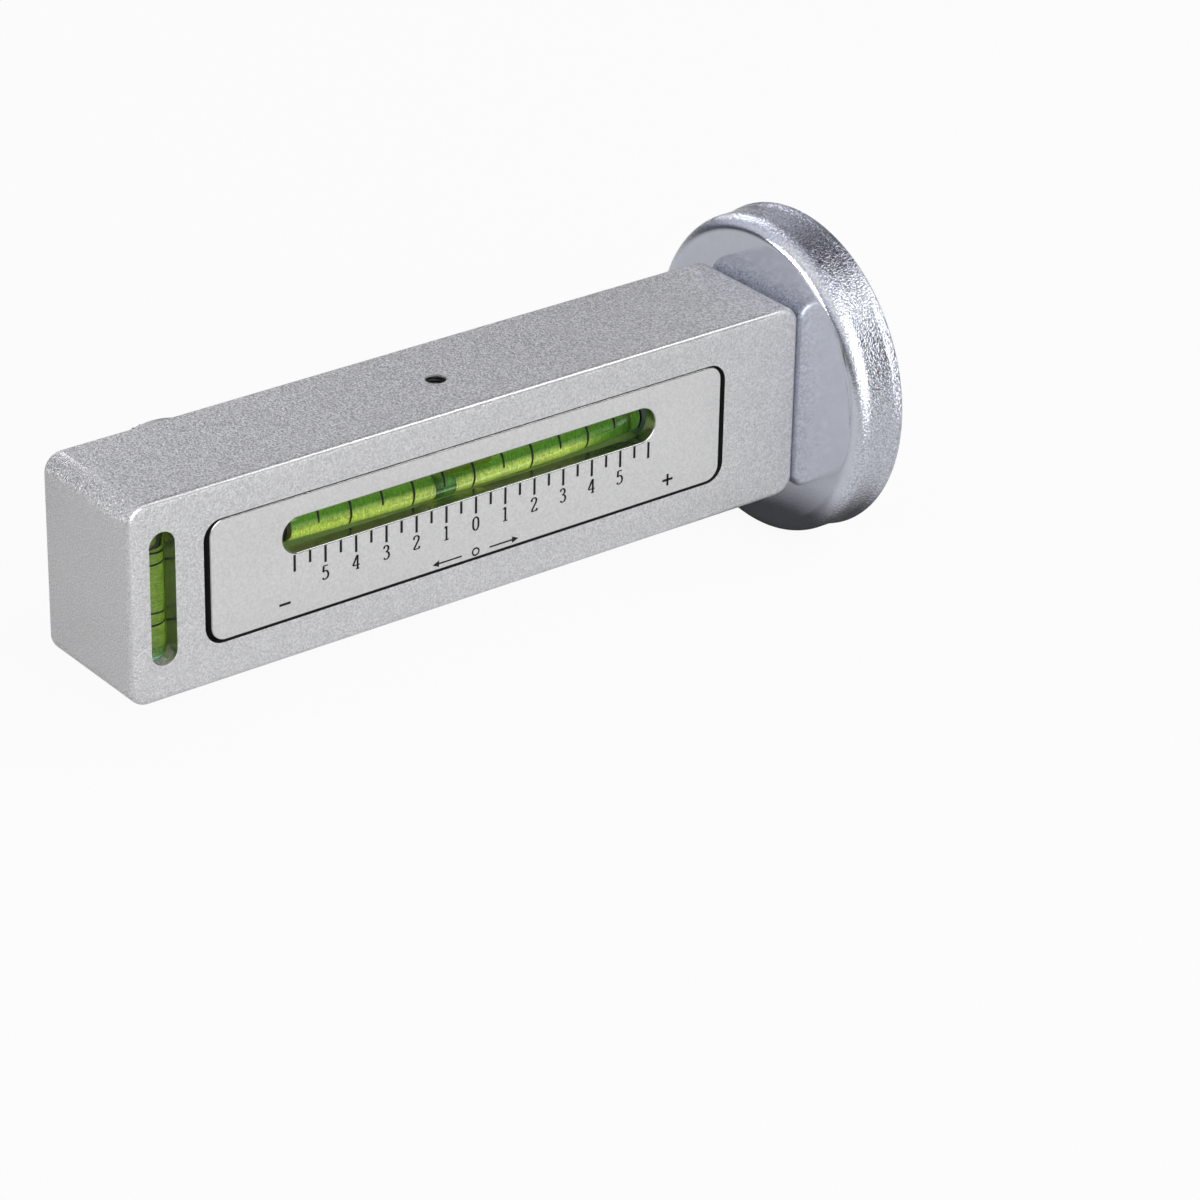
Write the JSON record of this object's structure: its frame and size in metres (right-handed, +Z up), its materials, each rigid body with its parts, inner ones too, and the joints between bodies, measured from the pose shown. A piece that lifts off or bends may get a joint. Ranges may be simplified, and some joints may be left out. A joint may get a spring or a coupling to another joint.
{
  "type": "camber caster gauge",
  "caption": "Magnetic wheel-alignment gauge: a rectangular bar with an arched camber vial, a cross vial, a tilting caster vial with an adjusting wheel, and a round pot magnet.",
  "frame": {"origin": "centre of the magnet's attaching face", "axes": "+X out of the magnet's face, so the bar runs towards -X; the camber scale faces -Y; +Z up, square to the bar's long sides, as the picture shows it lying"},
  "size_m": [0.1221, 0.0488, 0.0488],
  "materials": {
    "bar_aluminium": "bead-blasted, silver anodised",
    "plate_aluminium": "satin, clear anodised",
    "black_ink": "printed ink",
    "acrylic": "clear polished acrylic",
    "green_plug": "dark green welded plug",
    "green_liquid": "clear yellow-green spirit",
    "bubble": "vapour bubble",
    "black_rubber": "soft moulded rubber",
    "grey_plastic": "moulded cap",
    "black_acetal": "machined acetal",
    "dark_steel": "black oxide",
    "housing_aluminium": "turned, silver anodised",
    "aged_brass": "turned and knurled, browned",
    "spring_steel": "bright spring steel",
    "plated_steel": "bright zinc plating",
    "ferrite": "ground ferrite",
    "black_resin": "cast epoxy"
  },
  "bodies": {
    "root": {"bar_body": "bar_aluminium", "camber_plate": "plate_aluminium", "camber_scale_lines": "black_ink", "camber_vial": "acrylic", "camber_vial_plugs": "green_plug", "camber_vial_collars": "black_rubber", "camber_vial_marks": "black_ink", "camber_liquid": "green_liquid", "cross_vial": "acrylic", "cross_vial_plug": "green_plug", "cross_vial_rings": "black_ink", "cross_liquid": "green_liquid", "cross_vial_cap": "grey_plastic", "back_plate": "plate_aluminium", "back_scale_lines": "black_ink", "pivot_pin": "dark_steel", "pivot_set_screw": "dark_steel", "adjuster_housing": "housing_aluminium", "adjuster_washer": "spring_steel", "magnet_cup": "plated_steel", "magnet_ring": "ferrite", "magnet_resin": "black_resin", "magnet_core": "plated_steel", "magnet_screw": "plated_steel"},
    "caster_carrier": {"caster_carrier": "black_acetal", "caster_vial": "acrylic", "caster_vial_plugs": "green_plug", "caster_vial_marks": "black_ink", "caster_liquid": "green_liquid", "adjuster_nut": "aged_brass"},
    "adjuster": {"adjuster_screw": "aged_brass", "adjuster_knob": "aged_brass", "adjuster_clip": "spring_steel"},
    "camber_bubble": {"camber_bubble": "bubble"},
    "cross_bubble": {"cross_bubble": "bubble"},
    "caster_bubble": {"caster_bubble": "bubble"}
  },
  "joints": [
    {"name": "camber_bubble_travel", "type": "hinge", "parent": "root", "child": "camber_bubble", "pos_m": [-0.06535, 0.28535, 0.0025], "axis": [0, 0, 1], "range_deg": [-5.2, 5.2]},
    {"name": "cross_bubble_travel", "type": "slide", "parent": "root", "child": "cross_bubble", "axis": [0, 0, 1], "range_m": [-0.0158, 0], "stiffness_N_per_m": 0.015, "springref_m": 0.02},
    {"name": "adjuster_turn", "type": "hinge", "parent": "root", "child": "adjuster", "pos_m": [-0.09975, 0.01125, 0], "axis": [0, 1, 0], "range_deg": [-460, 460]},
    {"name": "caster_tilt", "type": "hinge", "parent": "root", "child": "caster_carrier", "pos_m": [-0.06535, 0, -0.005], "axis": [0, 0, 1], "range_deg": [-1.5, 1.5]},
    {"name": "caster_bubble_travel", "type": "hinge", "parent": "caster_carrier", "child": "caster_bubble", "pos_m": [-0.05465, -0.2845, -0.005], "axis": [0, 0, 1], "range_deg": [-3.6, 3.6]}
  ],
  "couplings": [
    {"joint": "caster_tilt", "follows": "adjuster_turn", "ratio": 0.0032387}
  ]
}
